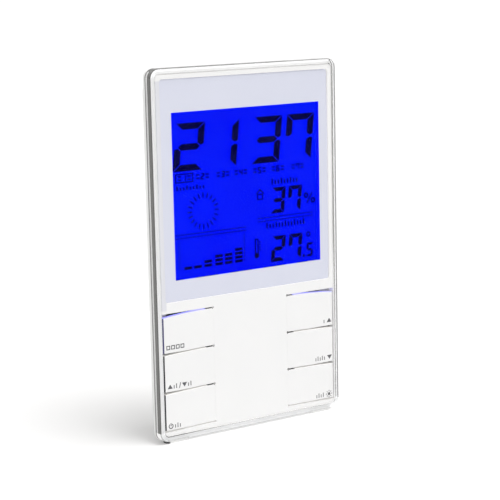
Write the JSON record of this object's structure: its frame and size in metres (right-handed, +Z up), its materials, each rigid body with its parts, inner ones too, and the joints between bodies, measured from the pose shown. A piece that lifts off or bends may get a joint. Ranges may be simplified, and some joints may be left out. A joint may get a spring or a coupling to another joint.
{
  "type": "thermometer hygrometer clock",
  "caption": "Upright desk clock with a lit display for time, humidity and temperature, side key tongues, a battery door and a fold-out foot.",
  "frame": {"origin": "middle of the box on the table, under the case and its opened foot", "axes": "+Z up, face towards -Y, +X to the right of a viewer who faces the display"},
  "size_m": [0.075, 0.0488, 0.1258],
  "materials": {
    "white_gloss": "glossy white moulding",
    "white_satin": "satin white moulding",
    "clear_acrylic": "polished clear acrylic",
    "lens_clear": "clear lens",
    "lilac_print": "pale lilac-grey print",
    "display_glass": "display glass lit blue",
    "guide_blue": "light guide lit blue",
    "lamp_blue": "blue lamps",
    "reflector_white": "white film",
    "board_green": "green solder mask",
    "black_plastic": "black moulding and resin",
    "plunger_red": "pale switch plunger",
    "cell_jacket": "plain cell jacket",
    "rubber_grey": "soft dark grey",
    "plated_steel": "nickel-plated steel"
  },
  "bodies": {
    "case": {"backlight_lamps": "lamp_blue", "board_screws": "plated_steel", "buzzer": "black_plastic", "cell_lower": "cell_jacket", "cell_upper": "cell_jacket", "clear_frame": "clear_acrylic", "contact_left_lower": "plated_steel", "contact_left_upper": "plated_steel", "contact_link": "plated_steel", "contact_spring_left": "plated_steel", "contact_spring_right": "plated_steel", "contact_strip": "rubber_grey", "crystal": "plated_steel", "display_front_glass": "display_glass", "display_lens": "lens_clear", "display_rear_glass": "display_glass", "foot_pin": "plated_steel", "front_plate": "white_gloss", "housing_screws": "plated_steel", "humidity_sensor": "black_plastic", "lens_border": "lilac_print", "light_guide": "guide_blue", "main_board": "board_green", "pad_left": "rubber_grey", "pad_right": "rubber_grey", "processor": "black_plastic", "rear_housing": "white_satin", "reflector": "reflector_white", "switch_body_left_lower": "black_plastic", "switch_body_left_middle": "black_plastic", "switch_body_left_upper": "black_plastic", "switch_body_right_lower": "black_plastic", "switch_body_right_middle": "black_plastic", "switch_body_right_upper": "black_plastic"},
    "key_left_upper": {"key_left_upper": "white_gloss"},
    "switch_plunger_left_upper": {"switch_plunger_left_upper": "plunger_red"},
    "key_left_middle": {"key_left_middle": "white_gloss"},
    "switch_plunger_left_middle": {"switch_plunger_left_middle": "plunger_red"},
    "key_left_lower": {"key_left_lower": "white_gloss"},
    "switch_plunger_left_lower": {"switch_plunger_left_lower": "plunger_red"},
    "key_right_upper": {"key_right_upper": "white_gloss"},
    "switch_plunger_right_upper": {"switch_plunger_right_upper": "plunger_red"},
    "key_right_middle": {"key_right_middle": "white_gloss"},
    "switch_plunger_right_middle": {"switch_plunger_right_middle": "plunger_red"},
    "key_right_lower": {"key_right_lower": "white_gloss"},
    "switch_plunger_right_lower": {"switch_plunger_right_lower": "plunger_red"},
    "battery_door": {"battery_door": "white_satin"},
    "foot": {"fold_out_foot": "white_satin"}
  },
  "joints": [
    {"name": "press_left_upper", "type": "hinge", "parent": "case", "child": "key_left_upper", "pos_m": [-0.0152, -0.02214, 0.03789], "axis": [0, -0.0366, -0.9993], "range_deg": [0, 1.4], "stiffness_Nm_per_rad": 1.2},
    {"name": "plunge_left_upper", "type": "slide", "parent": "case", "child": "switch_plunger_left_upper", "axis": [0, 0.9993, -0.0366], "range_m": [0, 0.00024]},
    {"name": "press_left_middle", "type": "hinge", "parent": "case", "child": "key_left_middle", "pos_m": [-0.0152, -0.02263, 0.02462], "axis": [0, -0.0366, -0.9993], "range_deg": [0, 1.4], "stiffness_Nm_per_rad": 1.2},
    {"name": "plunge_left_middle", "type": "slide", "parent": "case", "child": "switch_plunger_left_middle", "axis": [0, 0.9993, -0.0366], "range_m": [0, 0.00024]},
    {"name": "press_left_lower", "type": "hinge", "parent": "case", "child": "key_left_lower", "pos_m": [-0.0152, -0.02312, 0.01135], "axis": [0, -0.0366, -0.9993], "range_deg": [0, 1.4], "stiffness_Nm_per_rad": 1.2},
    {"name": "plunge_left_lower", "type": "slide", "parent": "case", "child": "switch_plunger_left_lower", "axis": [0, 0.9993, -0.0366], "range_m": [0, 0.00024]},
    {"name": "press_right_upper", "type": "hinge", "parent": "case", "child": "key_right_upper", "pos_m": [0.0152, -0.02214, 0.03789], "axis": [0, 0.0366, 0.9993], "range_deg": [0, 1.4], "stiffness_Nm_per_rad": 1.2},
    {"name": "plunge_right_upper", "type": "slide", "parent": "case", "child": "switch_plunger_right_upper", "axis": [0, 0.9993, -0.0366], "range_m": [0, 0.00024]},
    {"name": "press_right_middle", "type": "hinge", "parent": "case", "child": "key_right_middle", "pos_m": [0.0152, -0.02263, 0.02462], "axis": [0, 0.0366, 0.9993], "range_deg": [0, 1.4], "stiffness_Nm_per_rad": 1.2},
    {"name": "plunge_right_middle", "type": "slide", "parent": "case", "child": "switch_plunger_right_middle", "axis": [0, 0.9993, -0.0366], "range_m": [0, 0.00024]},
    {"name": "press_right_lower", "type": "hinge", "parent": "case", "child": "key_right_lower", "pos_m": [0.0152, -0.02312, 0.01135], "axis": [0, 0.0366, 0.9993], "range_deg": [0, 1.4], "stiffness_Nm_per_rad": 1.2},
    {"name": "plunge_right_lower", "type": "slide", "parent": "case", "child": "switch_plunger_right_lower", "axis": [0, 0.9993, -0.0366], "range_m": [0, 0.00024]},
    {"name": "door_tilt", "type": "hinge", "parent": "case", "child": "battery_door", "pos_m": [0, -0.00106, 0.03711], "axis": [-1, 0, 0], "range_deg": [0, 40]},
    {"name": "foot_fold", "type": "hinge", "parent": "case", "child": "foot", "pos_m": [0, -0.0056, 0.0033], "axis": [1, 0, 0], "range_deg": [0, 87.9]}
  ],
  "couplings": [
    {"joint": "plunge_left_upper", "follows": "press_left_upper", "m_per_rad": 0.0093},
    {"joint": "plunge_left_middle", "follows": "press_left_middle", "m_per_rad": 0.0093},
    {"joint": "plunge_left_lower", "follows": "press_left_lower", "m_per_rad": 0.0093},
    {"joint": "plunge_right_upper", "follows": "press_right_upper", "m_per_rad": 0.0093},
    {"joint": "plunge_right_middle", "follows": "press_right_middle", "m_per_rad": 0.0093},
    {"joint": "plunge_right_lower", "follows": "press_right_lower", "m_per_rad": 0.0093}
  ]
}
